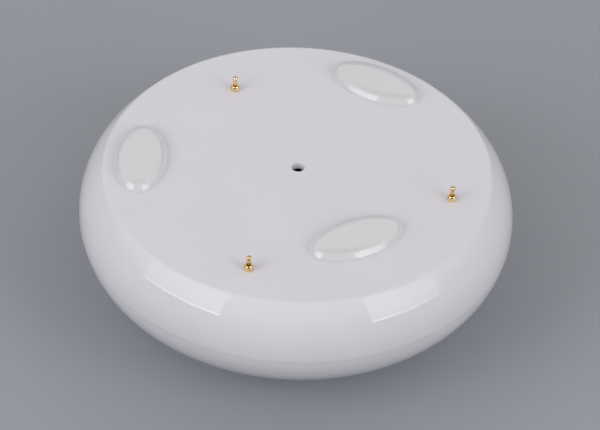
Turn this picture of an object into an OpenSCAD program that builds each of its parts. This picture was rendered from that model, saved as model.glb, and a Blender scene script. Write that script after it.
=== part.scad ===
// Water leak sensor, lying on its domed cover with the probe side up.
// Sizes are in millimetres. The origin is the middle of the crown's flat, and +Z leaves the underside.
// The lone probe lies on +Y, and the underside's layout is a mirror image about the YZ plane.
// The battery, the board and the room over the board set the height of the body.

/* [Body] */
// Largest diameter of the body
body_d = 72; // [66:0.5:80]
// Radius of the cover's crown
crown_r = 56.3; // [52:0.1:62]
// Radius of the shoulder between the crown and the widest ring
shoulder_r = 10.4; // [9.4:0.1:11.4]
// Depth of the small flat on the crown
crown_cut = 0.5; // [0.35:0.05:0.7]
// Inset of the flat underside from the widest ring
flat_inset = 4.1; // [3.6:0.1:4.6]
// Radius of the underside's edge
edge_r = 0.6; // [0.3:0.05:0.9]
// Wall thickness of both shells
wall = 1.6; // [1.4:0.05:1.8]
// Drop from the widest ring to the parting line
parting_drop = 0.4; // [0.25:0.05:0.7]
// Open seam between the two shells
seam_gap = 0.08; // [0.04:0.02:0.2]

/* [Twist lock] */
// Thickness of the cover's skirt
skirt_t = 1.2; // [1:0.1:1.5]
// How far each lug stands out of the skirt
lug_out = 1; // [0.8:0.05:1.2]
// Height of a lug and of the lip that it turns behind
lug_h = 1.2; // [1:0.05:1.4]
// Width of a lug, in degrees
lug_angle = 16; // [12:1:18]
// Number of lugs
lugs = 3; // [2:1:4]
// Twist from shut to open, in degrees
twist = 20; // [18:1:26]
// Thickness of a stop rib, in degrees
stop_angle = 3; // [2:0.5:5]
// Running gap of the twist lock
lock_gap = 0.25; // [0.2:0.05:0.35]
// Height of the lip over the parting line
lip_rise = 0.3; // [0.2:0.05:0.5]
// Height of the seal ring
seal_h = 1.8; // [1.4:0.1:2.2]
// Clearance around the seal ring
seal_gap = 0.1; // [0.05:0.01:0.15]
// Thickness of the flange that carries the seal ring
flange_t = 1.2; // [1:0.1:1.6]

/* [Port] */
// Diameter of the hole in the middle of the underside
port_d = 2.2; // [1.8:0.1:3]
// Wall left around the hole
port_wall = 1.2; // [1:0.05:1.3]
// Diameter of the recess behind the hole
recess_d = 7; // [6:0.2:9]

/* [Probes] */
// Inset of the lone probe from the edge of the underside
probe_lone_inset = 9.5; // [8:0.1:11]
// Inset of the paired probes from the edge of the underside
probe_pair_inset = 6; // [5.2:0.1:7]
// Angle from the lone probe to each paired probe
probe_pair_angle = 134.3; // [125:0.1:142]
// Height of a probe's tip over the underside
probe_tip = 2.8; // [2.5:0.05:3.2]
// Travel of a probe's plunger
probe_travel = 1.3; // [1:0.05:1.5]
// Diameter of a plunger's neck
neck_d = 0.7; // [0.6:0.02:0.8]
// How far a plunger's round head stands out of its neck
head_out = 0.08; // [0.06:0.01:0.1]
// How far a plunger's tail stands out of its neck
tail_out = 0.08; // [0.06:0.01:0.12]
// Length of a plunger's tail
tail_l = 1.2; // [0.8:0.1:1.4]
// Radial gap between a plunger and its barrel
slide_gap = 0.04; // [0.02:0.01:0.05]
// Wall of a probe's barrel
barrel_wall = 0.13; // [0.1:0.01:0.2]
// How far a probe's collar stands out of its barrel
collar_out = 0.15; // [0.12:0.01:0.3]
// Height of a probe's collar
collar_h = 1; // [0.8:0.05:1.2]
// Thickness of the lip that keeps a plunger in its barrel
barrel_lip = 0.25; // [0.2:0.05:0.35]
// Thickness of a barrel's floor
barrel_floor = 0.4; // [0.3:0.05:0.5]
// Wall of a probe's inner spring
spring_wall = 0.16; // [0.1:0.02:0.2]
// Wall of the boss around a probe, inside the base
probe_boss_wall = 1.2; // [0.8:0.1:1.5]
// Depth of that boss below the underside's wall
probe_boss_h = 1; // [0.6:0.1:1.4]
// Diameter of a probe's solder pin
solder_d = 0.6; // [0.5:0.05:0.7]
// Length of solder pin past the board
solder_out = 0.6; // [0.4:0.1:1]

/* [Foot pads] */
// Length of a foot pad
pad_l = 16.4; // [14:0.2:18]
// Width of a foot pad
pad_w = 8.7; // [7:0.1:9.6]
// Height of a foot pad, and radius of its rounded side
pad_h = 1.5; // [1:0.1:1.8]
// Inset of the paired pads' middle from the edge of the underside
pad_pair_inset = 6.1; // [5.6:0.1:7.5]
// Angle from the lone probe to each paired pad
pad_pair_angle = 59.4; // [54:0.2:66]
// Inset of the lone pad's middle, opposite the lone probe
pad_lone_inset = 12.4; // [8:0.1:14]

/* [Board] */
// Gap between the main board and the cover's skirt
board_gap = 1.6; // [1.2:0.1:2.2]
// Thickness of the main board
board_t = 1.2; // [0.8:0.1:1.6]
// Room between the board and the underside's wall
standoff = 2.4; // [2.2:0.05:3.4]
// Inset of the board screws from the board's edge
screw_inset = 2.5; // [2.4:0.1:3.2]
// Diameter of a board screw's shank
screw_d = 2; // [1.6:0.1:2.2]
// Diameter of a board screw's head
screw_head_d = 3.8; // [3.2:0.1:4.2]
// Height of a board screw's head
screw_head_h = 1.4; // [1:0.1:1.6]
// Wall of a screw boss in the base
boss_wall = 1.3; // [1:0.1:1.5]
// Clearance of a fixed pin or screw in its hole
pin_gap = 0.02; // [0.01:0.01:0.05]

/* [Battery] */
// Diameter of the cell
cell_d = 16.8; // [15.4:0.1:18]
// Length of the cell over its nub
cell_l = 34.5; // [31:0.1:38]
// Diameter of the cell's nub
nub_d = 6.5; // [5:0.1:8]
// Height of the cell's nub
nub_h = 1.1; // [0.8:0.1:1.6]
// Clearance around the cell
cell_gap = 0.3; // [0.2:0.05:0.5]
// Wall of the battery cradle
cradle_wall = 1.5; // [1.2:0.1:1.8]
// Room for a contact at each end of the cell
contact_room = 1.2; // [1:0.05:1.4]
// Thickness of a contact leaf
contact_t = 0.4; // [0.25:0.05:0.5]
// Width of a contact leaf
contact_w = 8; // [6:0.2:10]
// Diameter of a contact's raised spot
dimple_d = 4; // [3:0.2:5]
// Width of the window in the cradle's back
window_w = 8; // [7:0.5:10]

/* [Terminals] */
// Number of ways of the terminal block
ways = 6; // [4:1:6]
// Pitch of the terminal block
pitch = 3.5; // [3:0.1:3.8]
// Depth of the terminal block
block_w = 7.2; // [6:0.1:8]
// Height of the terminal block
block_h = 8.5; // [7:0.1:10]
// Diameter of a terminal screw
clamp_d = 2.4; // [1.8:0.1:2.6]
// Height of a terminal screw
clamp_h = 1.4; // [1:0.1:2]
// Depth of a screw below the block's face
clamp_sink = 0.5; // [0.2:0.1:1]
// Side of a wire entry
entry_side = 2.2; // [1.6:0.1:2.5]
// Depth of a wire entry
entry_depth = 3; // [2:0.1:4]

/* [Switches] */
// Side of a switch's body
switch_side = 5.2; // [5:0.1:6]
// Height of a switch's body
switch_h = 3.6; // [3:0.1:4]
// Diameter of a switch's button
button_d = 3; // [2.4:0.1:3.3]
// How far the tamper button stands out
tamper_out = 2.6; // [2:0.1:3.4]
// Travel of the tamper button
tamper_travel = 0.4; // [0.2:0.05:0.5]
// How far the service key stands out
service_out = 1.4; // [1:0.1:2]
// Travel of the service key
service_travel = 0.25; // [0.15:0.05:0.4]
// Radial gap around a button
button_gap = 0.06; // [0.04:0.01:0.1]
// Thickness of a button's flange
flange_h = 0.6; // [0.4:0.1:0.8]
// How far a button's flange stands out of its stem
flange_out = 0.5; // [0.3:0.05:0.6]
// Thickness of a switch's face around its button
face_t = 0.5; // [0.4:0.05:0.8]
// Play of a button along its travel
button_play = 0.1; // [0.05:0.05:0.2]
// Offset of both switches from the X axis, towards the terminal block
switch_offset = 5; // [4:0.1:6]
// Diameter of the cover's post over the tamper button
post_d = 3; // [2.4:0.1:3.4]
// Gap between the post and the tamper button at rest
post_gap = 0.15; // [0.1:0.05:0.3]

/* [Electronics] */
// Free space between neighbours on the board
part_gap = 1; // [0.8:0.1:1.2]
// Diameter of the sounder
sounder_d = 12; // [10:0.2:14]
// Height of the sounder
sounder_h = 1.8; // [1.4:0.1:2]
// Diameter of the sounder's own hole
sounder_hole_d = 1.6; // [1:0.1:2]
// Width of the foam gasket ring
gasket_w = 1.5; // [1:0.1:1.8]
// Clearance around the gasket
gasket_gap = 0.15; // [0.05:0.05:0.3]
// Length and width of the radio board
radio_size = [11, 10];
// Thickness of the radio board
radio_t = 0.8; // [0.6:0.1:1]
// Margin of the radio board around its shield
shield_margin = 1; // [0.6:0.1:1.6]
// Height of the shield can
shield_h = 2; // [1.6:0.1:3]
// Metal thickness of the shield can
shield_t = 0.25; // [0.2:0.05:0.4]
// Diameter of the antenna wire
antenna_d = 0.8; // [0.6:0.1:1]
// Wall of the solder joints on the antenna's legs
antenna_joint = 0.2; // [0.1:0.05:0.3]
// Inset of the antenna from the board's edge
antenna_inset = 1; // [0.8:0.1:1.2]
// Height of the antenna wire over the board
antenna_h = 1.1; // [0.9:0.1:1.3]
// Angle between each end of the antenna and the screw beside it
antenna_clear = 10; // [8:1:20]
// Side of the controller chip
controller_side = 5; // [4:0.1:5.6]
// Height of the controller chip
controller_h = 0.9; // [0.7:0.1:1.4]
// Side of the choke
choke_side = 5; // [4:0.1:5.6]
// Height of the choke
choke_h = 3; // [2:0.1:4]
// Diameter of the reservoir capacitor
capacitor_d = 6.3; // [5:0.1:7]
// Height of the reservoir capacitor
capacitor_h = 7.7; // [5:0.1:9]
// Size of an output relay
relay_size = [4.4, 3.9, 2.1];
// Side of the tilt sensor
tilt_side = 3; // [2:0.1:3.6]
// Height of the tilt sensor
tilt_h = 1; // [0.8:0.1:1.4]
// Size of the temperature sensor
thermo_size = [3, 1.6, 1];
// Size of the indicator lamp
lamp_size = [3.2, 2.8, 1.6];
// Diameter of the light guide's rod
guide_d = 3; // [2:0.1:4]
// Diameter of the light guide's foot
guide_foot_d = 5.6; // [5.2:0.1:6.4]
// Height of the light guide's foot
guide_foot_h = 2.6; // [2.2:0.1:3.4]
// Gap between the light guide and the cover
guide_gap = 0.4; // [0.3:0.05:1]
// Size of a small passive part
passive_size = [2, 1.2, 0.6];
// Gap between two small passive parts
passive_gap = 0.8; // [0.5:0.1:1.2]

/* [Hidden] */

// Roundness of the shells and of small pieces
shell_fn = 160;
$fn = 48;

// Overlap that fuses features of one piece
fuse = 0.2;

// Heights of the cover's inside and of the stack on it: cell, board, room over the board, wall
body_r = body_d / 2;
crown_z = crown_r - crown_cut;
function cover_inside_z(r) = crown_z - sqrt(pow(crown_r - wall, 2) - pow(r, 2));
cell_z = cover_inside_z(cell_l / 2) + cell_gap + cell_d / 2;
board_z = cell_z + cell_d / 2 + cell_gap;
board_top = board_z + board_t;
inside_z = board_top + standoff;
body_h = inside_z + wall;

// Outline of the body: a rim arc, a shoulder arc and a crown arc, each tangent to the next
shoulder_c = body_r - shoulder_r;
widest_z = crown_z - sqrt(pow(crown_r - shoulder_r, 2) - pow(shoulder_c, 2));
rim_h = body_h - widest_z;
flat_r = body_r - flat_inset;
rim_r = (pow(flat_inset, 2) + pow(rim_h, 2)) / (2 * flat_inset);
rim_c = body_r - rim_r;
parting_z = widest_z - parting_drop;

// Centre of the underside's edge arc and its direction from the rim's centre
edge_x = sqrt(pow(rim_r - edge_r, 2) - pow(rim_h - edge_r, 2));
edge_at = [rim_c + edge_x, body_h - edge_r];
edge_dir = [edge_x, rim_h - edge_r] / (rim_r - edge_r);

// Twist lock
function cover_inside_r(z) = shoulder_c + sqrt(pow(shoulder_r - wall, 2) - pow(z - widest_z, 2));
function base_inside_r(z) = rim_c + sqrt(pow(rim_r - wall, 2) - pow(z - widest_z, 2));
lip_z = parting_z + lip_rise;
lug_z = lip_z + lug_h + lock_gap;
lug_r = base_inside_r(lug_z + lug_h) - lock_gap;
skirt_r = lug_r - lug_out;
skirt_inner_r = skirt_r - skirt_t;
lip_r = skirt_r + lock_gap;
seal_z = lip_z - seal_gap - seal_h;
lock_slack = lock_gap / lug_r * 180 / PI;
notch_angle = lug_angle + 2 * lock_slack;
recess_z = body_h - port_wall;

// Probes: places, radii, and heights at rest
probe_lone_r = flat_r - probe_lone_inset;
probe_pair_r = flat_r - probe_pair_inset;
probe_places = [
    [0, probe_lone_r],
    probe_pair_r * [cos(90 + probe_pair_angle), sin(90 + probe_pair_angle)],
    probe_pair_r * [cos(90 - probe_pair_angle), sin(90 - probe_pair_angle)]
];
head_r = neck_d / 2 + head_out;
tail_r = neck_d / 2 + tail_out;
barrel_r = tail_r + slide_gap + barrel_wall;
collar_r = barrel_r + collar_out;
cup_r = head_r + slide_gap;
collar_top_r = (collar_r + cup_r) / 2;
collar_arc_z = collar_h - sqrt(pow(collar_r, 2) - pow(collar_top_r, 2));
tip_z = body_h + probe_tip;
head_z = tip_z - head_r;
cup_z = tip_z - 2 * head_r - probe_travel - slide_gap;
tail_top_z = cup_z - barrel_lip - slide_gap;
tail_z = tail_top_z - tail_l;
bore_z = board_top + barrel_floor;

// Foot pads: distance from the axis, and direction
pad_places = [
    [flat_r - pad_pair_inset, 90 + pad_pair_angle],
    [flat_r - pad_pair_inset, 90 - pad_pair_angle],
    [flat_r - pad_lone_inset, 270]
];

// Board and its screws
board_r = skirt_inner_r - board_gap;
screw_ring_r = board_r - screw_inset;
screw_angles = [30, 150, 270];
screw_hole_r = screw_d / 2 + pin_gap;
boss_r = screw_hole_r + boss_wall;

// Layout on the board's cover side, outwards from the cradle
cradle_r = cell_d / 2 + cell_gap;
cradle_half_w = cradle_r + cradle_wall;
bay_half_l = cell_l / 2 + contact_room;
cradle_half_l = bay_half_l + cradle_wall;
end_x = cradle_half_l + part_gap;
side_y = cradle_half_w + part_gap;
block_l = ways * pitch;
block_y = -(side_y + block_w / 2);
relay_at = [block_l / 2 + 2 * part_gap + relay_size[0] / 2, -(side_y + relay_size[1] / 2)];
tamper_at = [-(end_x + switch_side / 2), -switch_offset];
service_at = [end_x + switch_side / 2, -switch_offset];
choke_at = [-(end_x + choke_side / 2), part_gap + choke_side / 2];
controller_at = [end_x + controller_side / 2, part_gap + controller_side / 2];
radio_at = [-(3 * part_gap + radio_size[0] / 2), side_y + radio_size[1] / 2];
lamp_at = [3 * part_gap + guide_foot_d / 2, side_y + guide_foot_d / 2];
capacitor_at = [lamp_at[0] + guide_foot_d / 2 + part_gap + capacitor_d / 2, side_y + capacitor_d / 2];

// Layout on the board's other side, around the sounder
around_sounder = sounder_d / 2 + 2 * part_gap;
thermo_at = [around_sounder + thermo_size[0] / 2, 0];
tilt_at = [0, around_sounder + tilt_side / 2];
passive_step = [passive_size[0] + passive_gap, passive_size[1] + passive_gap];
passive_at = [-(around_sounder + passive_size[0] / 2), -passive_step[1] / 2];

// Half outline of the body, drawn inset from its outer face
module body_outline(inset) {
    intersection() {
        translate([rim_c, widest_z]) circle(r = rim_r - inset, $fn = shell_fn);
        translate([max(rim_c, 0), widest_z]) square([body_d, rim_h - inset]);
    }
    translate([0, widest_z]) square([max(rim_c, 0) + wall, rim_h - inset]);
    intersection() {
        union() {
            translate([shoulder_c, widest_z]) circle(r = shoulder_r - inset, $fn = shell_fn);
            intersection() {
                translate([0, crown_z]) circle(r = crown_r - inset, $fn = 4 * shell_fn);
                polygon([
                    [0, widest_z],
                    [shoulder_c, widest_z],
                    [2 * shoulder_c, 2 * widest_z - crown_z],
                    [0, 2 * widest_z - crown_z]
                ]);
            }
        }
        square([body_d, widest_z + fuse]);
    }
}

// Half outline of the outer face, with the underside's edge rounded
module outer_outline() {
    difference() {
        body_outline(0);
        polygon([edge_at, edge_at + [0, 2 * edge_r], edge_at + 2 * edge_r * edge_dir]);
    }
    translate(edge_at) circle(r = edge_r);
}

// Ring between an inner radius and the middle of the shell's wall
module wall_ring(inner_r, low_z, ring_h, start = 0, angle = 360) {
    rotate([0, 0, start]) rotate_extrude(angle = angle, $fn = shell_fn) intersection() {
        body_outline(wall / 2);
        translate([inner_r, low_z]) square([body_d, ring_h]);
    }
}

// Ring of rectangular section
module ring(inner_r, outer_r, low_z, ring_h, start = 0, angle = 360) {
    rotate([0, 0, start]) rotate_extrude(angle = angle, $fn = shell_fn)
        translate([inner_r, low_z]) square([outer_r - inner_r, ring_h]);
}

// Box centred on a point of the board's cover side, standing towards the cover
module on_board(at, size) {
    translate([at[0] - size[0] / 2, at[1] - size[1] / 2, board_z - size[2]]) cube(size);
}

// Box centred on a point of the board's other side, standing towards the underside
module behind_board(at, size) {
    translate([at[0] - size[0] / 2, at[1] - size[1] / 2, board_top]) cube(size);
}

// Stop rib of the twist lock, standing on the lip
module stop_rib(start) {
    wall_ring(lip_r + fuse, lip_z + lug_h - fuse, lug_h + lock_gap + fuse, start, stop_angle);
}

module base_shell() color("white") {
    difference() {
        union() {
            rotate_extrude($fn = shell_fn) difference() {
                outer_outline();
                body_outline(wall);
                square([body_d, parting_z + seam_gap / 2]);
            }
            for (angle = screw_angles)
                rotate([0, 0, angle]) translate([screw_ring_r, 0, board_top])
                    cylinder(r = boss_r, h = standoff + fuse);
            for (at = probe_places)
                translate([at[0], at[1], inside_z - probe_boss_h])
                    cylinder(r = barrel_r + pin_gap + probe_boss_wall, h = probe_boss_h + fuse);
        }
        translate([0, 0, inside_z - fuse]) cylinder(d = port_d, h = wall + 2 * fuse);
        translate([0, 0, inside_z - fuse]) cylinder(d = recess_d, h = recess_z - inside_z + fuse);
        for (at = probe_places)
            translate([at[0], at[1], board_top]) cylinder(r = barrel_r + pin_gap, h = body_h);
        for (angle = screw_angles)
            rotate([0, 0, angle]) translate([screw_ring_r, 0, board_top - fuse])
                cylinder(r = screw_hole_r, h = recess_z - board_top + fuse);
    }
    difference() {
        wall_ring(lip_r, lip_z, lug_h);
        for (i = [0 : lugs - 1])
            ring(skirt_inner_r, lug_r + lock_gap / 2, lip_z - fuse, lug_h + 2 * fuse,
                i * 360 / lugs - twist - notch_angle / 2, notch_angle);
    }
    for (i = [0 : lugs - 1]) {
        stop_rib(i * 360 / lugs + notch_angle / 2 + lock_slack);
        stop_rib(i * 360 / lugs - twist - notch_angle / 2 - lock_slack - stop_angle);
    }
}

module top_cover() color("white") {
    rotate_extrude($fn = shell_fn) difference() {
        outer_outline();
        body_outline(wall);
        translate([0, parting_z - seam_gap / 2]) square([body_d, body_h]);
    }
    wall_ring(skirt_inner_r, seal_z - flange_t, flange_t);
    ring(skirt_inner_r, skirt_r, seal_z - fuse, lug_z + lug_h - seal_z + 2 * fuse);
    for (i = [0 : lugs - 1])
        ring(skirt_r - fuse, lug_r, lug_z, lug_h, i * 360 / lugs - lug_angle / 2, lug_angle);
    intersection() {
        rotate_extrude($fn = shell_fn) body_outline(wall / 2);
        translate([tamper_at[0], tamper_at[1], 0])
            cylinder(d = post_d, h = board_z - switch_h - tamper_out - post_gap);
    }
}

module seal_ring() color("dimgray")
    ring(skirt_r + seal_gap, cover_inside_r(seal_z) - seal_gap, seal_z, seal_h);

// Oval pad with a rounded side and a flat top, its length along the tangent
module foot_pad(i) color("gainsboro")
    rotate([0, 0, pad_places[i][1]]) translate([pad_places[i][0], 0, body_h])
        scale([1, pad_l / pad_w, 1]) rotate_extrude($fn = 96) {
            square([pad_w / 2 - pad_h, pad_h]);
            intersection() {
                translate([pad_w / 2 - pad_h, 0]) circle(r = pad_h, $fn = 96);
                square([pad_w, pad_h]);
            }
        }

module probe_barrel(i) color("gold") translate([probe_places[i][0], probe_places[i][1], 0]) difference() {
    union() {
        translate([0, 0, board_top]) cylinder(r = barrel_r, h = body_h - board_top + fuse);
        translate([0, 0, board_z - solder_out])
            cylinder(d = solder_d, h = board_t + solder_out + fuse);
        translate([0, 0, body_h]) rotate_extrude() {
            square([collar_r, collar_arc_z]);
            intersection() {
                translate([0, collar_arc_z]) circle(r = collar_r);
                square([2 * collar_r, collar_h]);
            }
        }
    }
    translate([0, 0, bore_z]) cylinder(r = tail_r + slide_gap, h = tail_top_z + slide_gap - bore_z);
    translate([0, 0, tail_top_z]) cylinder(d = neck_d + 2 * slide_gap, h = probe_tip);
    translate([0, 0, cup_z]) cylinder(r = cup_r, h = probe_tip);
}

module probe_plunger(i) color("gold") translate([probe_places[i][0], probe_places[i][1], 0]) {
    translate([0, 0, tail_z]) cylinder(r = tail_r, h = tail_l);
    translate([0, 0, tail_top_z - fuse]) cylinder(d = neck_d, h = head_z - tail_top_z + fuse);
    translate([0, 0, head_z]) sphere(r = head_r);
}

// Hidden coil spring, drawn as a plain sleeve of its outer and inner diameter
module probe_spring(i) color("silver")
    translate([probe_places[i][0], probe_places[i][1], bore_z]) difference() {
        cylinder(r = tail_r, h = tail_z - bore_z);
        translate([0, 0, -fuse]) cylinder(r = tail_r - spring_wall, h = tail_z - bore_z + 2 * fuse);
    }

module main_board() color("darkgreen") difference() {
    translate([0, 0, board_z]) cylinder(r = board_r, h = board_t, $fn = shell_fn);
    for (angle = screw_angles)
        rotate([0, 0, angle]) translate([screw_ring_r, 0, board_z - fuse])
            cylinder(r = screw_hole_r, h = board_t + 2 * fuse);
    for (at = probe_places)
        translate([at[0], at[1], board_z - fuse])
            cylinder(d = solder_d + 2 * pin_gap, h = board_t + 2 * fuse);
}

// Pan head screw with a cross recess, its shank running up into a boss
module board_screws() color("silver") for (angle = screw_angles)
    rotate([0, 0, angle]) translate([screw_ring_r, 0, board_z]) difference() {
        union() {
            cylinder(d = screw_d, h = recess_z - board_z - fuse);
            translate([0, 0, -screw_head_h]) cylinder(d = screw_head_d, h = screw_head_h);
        }
        for (turn = [0, 90])
            rotate([0, 0, turn]) translate([-screw_d / 2, -screw_d / 8, -screw_head_h - fuse])
                cube([screw_d, screw_d / 4, screw_head_h / 2 + fuse]);
    }

module battery_cell() color("black") translate([0, 0, cell_z]) rotate([0, 90, 0]) {
    translate([0, 0, -cell_l / 2]) cylinder(d = cell_d, h = cell_l - nub_h, $fn = 96);
    translate([0, 0, cell_l / 2 - nub_h - fuse]) cylinder(d = nub_d, h = nub_h + fuse);
}

module battery_cradle() color("dimgray") difference() {
    translate([-cradle_half_l, -cradle_half_w, cell_z])
        cube([2 * cradle_half_l, 2 * cradle_half_w, board_z - cell_z]);
    translate([-bay_half_l, 0, cell_z]) rotate([0, 90, 0])
        cylinder(r = cradle_r, h = 2 * bay_half_l, $fn = 96);
    translate([-bay_half_l, -window_w / 2, cell_z]) cube([2 * bay_half_l, window_w, cell_d]);
    for (side = [-1, 1])
        translate([side * (bay_half_l - contact_t / 2), 0, cell_z])
            translate([-contact_t / 2 - fuse / 2, -contact_w / 2 - cell_gap, -fuse])
                cube([contact_t + fuse, contact_w + 2 * cell_gap, cell_d]);
}

// Contact leaf against a cradle end, with a raised spot that reaches the cell
module contact_leaf(side) {
    translate([side * (bay_half_l - contact_t / 2) - contact_t / 2, -contact_w / 2, cell_z - dimple_d])
        cube([contact_t, contact_w, board_z - cell_z + dimple_d]);
    translate([side * cell_l / 2, 0, cell_z]) rotate([0, side * 90, 0])
        cylinder(d = dimple_d, h = contact_room - contact_t / 2);
}

module contact_positive() color("silver") contact_leaf(1);

module contact_negative() color("silver") contact_leaf(-1);

module terminal_block() color("seagreen") difference() {
    on_board([0, block_y], [block_l, block_w, block_h]);
    for (i = [0 : ways - 1]) translate([(i + 0.5) * pitch - block_l / 2, block_y, board_z]) {
        translate([0, 0, -block_h - fuse])
            cylinder(d = clamp_d + 2 * pin_gap, h = clamp_sink + clamp_h + fuse);
        translate([-entry_side / 2, -block_w / 2 - fuse, -block_h + clamp_sink + clamp_h + entry_side / 2])
            cube([entry_side, entry_depth + fuse, entry_side]);
    }
}

module terminal_screws() color("silver") for (i = [0 : ways - 1])
    translate([(i + 0.5) * pitch - block_l / 2, block_y, board_z - block_h + clamp_sink]) difference() {
        cylinder(d = clamp_d, h = clamp_h);
        translate([-clamp_d, -clamp_d / 10, -fuse]) cube([2 * clamp_d, clamp_d / 5, clamp_h / 3 + fuse]);
    }

module sounder() color("black") translate([0, 0, board_top]) difference() {
    cylinder(d = sounder_d, h = sounder_h, $fn = 96);
    translate([0, 0, sounder_h / 2]) cylinder(d = sounder_hole_d, h = sounder_h);
}

module sounder_gasket() color("black")
    ring(recess_d / 2 - gasket_gap - gasket_w, recess_d / 2 - gasket_gap, board_top + sounder_h,
        recess_z - board_top - sounder_h);

module radio_board() color("darkgreen") on_board(radio_at, [radio_size[0], radio_size[1], radio_t]);

module radio_shield() color("silver") {
    shield = [radio_size[0] - 2 * shield_margin, radio_size[1] - 2 * shield_margin];
    translate([0, 0, -radio_t]) difference() {
        on_board(radio_at, [shield[0], shield[1], shield_h]);
        translate([0, 0, fuse])
            on_board(radio_at, [shield[0] - 2 * shield_t, shield[1] - 2 * shield_t, shield_h - shield_t + fuse]);
    }
}

// Wire arc between two board screws, on two legs
module antenna() color("peru") {
    antenna_r = board_r - antenna_inset;
    start = screw_angles[1] + antenna_clear;
    end = screw_angles[2] - antenna_clear;
    translate([0, 0, board_top + antenna_h]) rotate([0, 0, start])
        rotate_extrude(angle = end - start, $fn = shell_fn)
            translate([antenna_r, 0]) circle(d = antenna_d);
    for (angle = [start, end])
        rotate([0, 0, angle]) translate([antenna_r, 0, board_top])
            cylinder(d = antenna_d + 2 * antenna_joint, h = antenna_h + antenna_d / 2 + antenna_joint);
}

module controller_chip() color("black")
    on_board(controller_at, [controller_side, controller_side, controller_h]);

module choke() color("dimgray") on_board(choke_at, [choke_side, choke_side, choke_h]);

module reservoir_capacitor() color("silver")
    translate([capacitor_at[0], capacitor_at[1], board_z - capacitor_h]) cylinder(d = capacitor_d, h = capacitor_h);

module output_relays() color("black") for (side = [-1, 1])
    on_board([side * relay_at[0], relay_at[1]], relay_size);

module tilt_sensor() color("black") behind_board(tilt_at, [tilt_side, tilt_side, tilt_h]);

module temperature_sensor() color("black") behind_board(thermo_at, thermo_size);

module passive_parts() color("peru") for (row = [0, 1], column = [0, 1])
    behind_board([passive_at[0] - column * passive_step[0], passive_at[1] + row * passive_step[1]], passive_size);

// Switch body with a stepped hole for a flanged button
module switch_body(at, travel) difference() {
    on_board(at, [switch_side, switch_side, switch_h]);
    translate([at[0], at[1], board_z - switch_h - fuse])
        cylinder(d = button_d + 2 * button_gap, h = face_t + 2 * fuse);
    translate([at[0], at[1], board_z - switch_h + face_t])
        cylinder(d = button_d + 2 * flange_out + 2 * button_gap, h = flange_h + travel + 2 * button_play);
}

// Flanged button, hanging from its switch towards the cover
module switch_button(at, out) {
    translate([at[0], at[1], board_z - switch_h - out])
        cylinder(d = button_d, h = out + face_t + button_play + fuse);
    translate([at[0], at[1], board_z - switch_h + face_t + button_play])
        cylinder(d = button_d + 2 * flange_out, h = flange_h);
}

module tamper_switch() color("dimgray") switch_body(tamper_at, tamper_travel);

module tamper_button() color("white") switch_button(tamper_at, tamper_out);

module service_switch() color("dimgray") switch_body(service_at, service_travel);

module service_key() color("black") switch_button(service_at, service_out);

module indicator_lamp() color("white") on_board(lamp_at, lamp_size);

// Clear rod from the lamp to the cover, on a foot with a pocket for the lamp
module light_guide() color("lightcyan") {
    rod_z = cover_inside_z(norm(lamp_at) + guide_d / 2) + guide_gap;
    difference() {
        translate([lamp_at[0], lamp_at[1], board_z - guide_foot_h]) cylinder(d = guide_foot_d, h = guide_foot_h);
        translate([0, 0, fuse])
            on_board(lamp_at, lamp_size + [2 * pin_gap, 2 * pin_gap, pin_gap + fuse]);
    }
    translate([lamp_at[0], lamp_at[1], rod_z]) cylinder(d = guide_d, h = board_z - guide_foot_h - rod_z + fuse);
}

base_shell();
top_cover();
seal_ring();
foot_pad(0);  // foot_pad_1
foot_pad(1);  // foot_pad_2
foot_pad(2);  // foot_pad_3
probe_barrel(0);  // probe_barrel_1
probe_barrel(1);  // probe_barrel_2
probe_barrel(2);  // probe_barrel_3
probe_plunger(0);  // probe_plunger_1
probe_plunger(1);  // probe_plunger_2
probe_plunger(2);  // probe_plunger_3
probe_spring(0);  // probe_spring_1
probe_spring(1);  // probe_spring_2
probe_spring(2);  // probe_spring_3
main_board();
board_screws();
battery_cell();
battery_cradle();
contact_positive();
contact_negative();
terminal_block();
terminal_screws();
sounder();
sounder_gasket();
radio_board();
radio_shield();
antenna();
controller_chip();
choke();
reservoir_capacitor();
output_relays();
tilt_sensor();
temperature_sensor();
passive_parts();
tamper_switch();
tamper_button();
service_switch();
service_key();
indicator_lamp();
light_guide();
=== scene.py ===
"""Water leak sensor lying on its domed cover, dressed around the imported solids.

Lengths are in millimetres, as in the part's source, until a mesh, a light or the camera takes them.
"""

from __future__ import annotations

import logging
import math
from dataclasses import dataclass
from enum import Enum
from typing import Sequence

import bmesh
import bpy
from mathutils import Matrix, Vector


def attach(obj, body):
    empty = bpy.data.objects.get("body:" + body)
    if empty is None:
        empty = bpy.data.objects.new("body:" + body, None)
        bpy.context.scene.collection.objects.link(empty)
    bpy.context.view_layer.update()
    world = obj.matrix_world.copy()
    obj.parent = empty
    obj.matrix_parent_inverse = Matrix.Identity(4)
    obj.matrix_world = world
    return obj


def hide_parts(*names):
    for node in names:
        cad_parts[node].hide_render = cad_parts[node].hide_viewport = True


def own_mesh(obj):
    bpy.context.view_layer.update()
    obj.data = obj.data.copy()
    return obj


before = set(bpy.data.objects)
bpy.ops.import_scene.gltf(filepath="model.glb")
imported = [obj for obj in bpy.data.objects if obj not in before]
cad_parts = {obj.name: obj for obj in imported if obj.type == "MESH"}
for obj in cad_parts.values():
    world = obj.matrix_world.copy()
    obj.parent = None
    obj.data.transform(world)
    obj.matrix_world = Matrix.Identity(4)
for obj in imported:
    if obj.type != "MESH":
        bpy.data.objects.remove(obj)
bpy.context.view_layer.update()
MM = 0.001
NOISE_MEAN = 0.5
LOG = logging.getLogger("leak_sensor")

Colour = tuple[float, float, float]
Point2 = tuple[float, float]
Point3 = tuple[float, float, float]


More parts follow.
